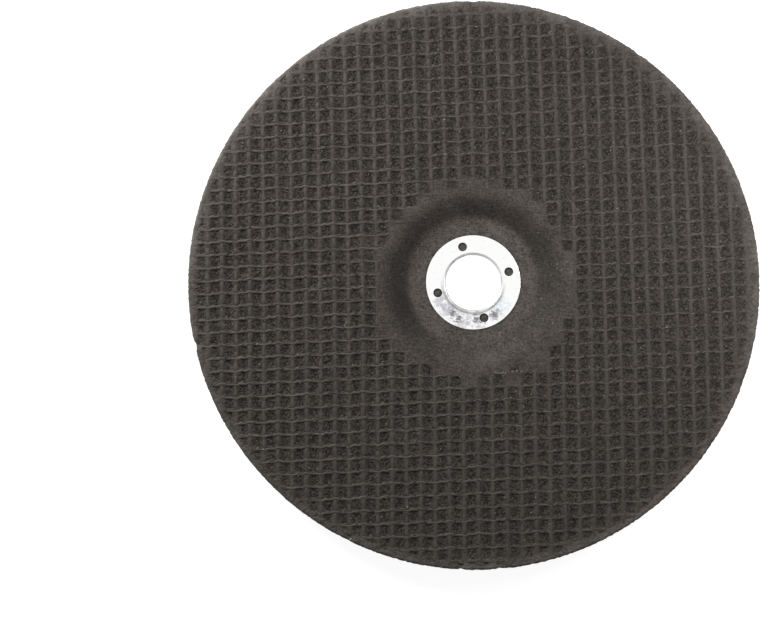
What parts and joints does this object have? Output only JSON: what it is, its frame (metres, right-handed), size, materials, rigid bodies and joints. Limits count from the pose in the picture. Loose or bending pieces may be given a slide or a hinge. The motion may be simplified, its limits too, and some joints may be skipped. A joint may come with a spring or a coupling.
{
  "type": "grinding disc",
  "caption": "Round grinding disc with a sunk hub, a woven glass mesh pressed into its grinding face and a steel ring lining its bore.",
  "frame": {"origin": "centre of the bore on the plane that the back of the hub rests on", "axes": "+Z along the bore axis to the grinding side, +Y close along the warp threads of the mesh, +X close along its weft threads"},
  "size_m": [0.23, 0.23, 0.0106],
  "materials": {
    "resin_bonded_grit": "rough dark grey-brown grit in resin, matt with fine glints",
    "resin_soaked_glass_mesh": "dull grey-brown woven threads soaked in resin",
    "tinned_sheet_steel": "bright tinned sheet steel with small dents and scuffs"
  },
  "bodies": {
    "root": {"abrasive_body": "resin_bonded_grit", "glass_mesh": "resin_soaked_glass_mesh", "hub_ring": "tinned_sheet_steel"}
  },
  "joints": []
}
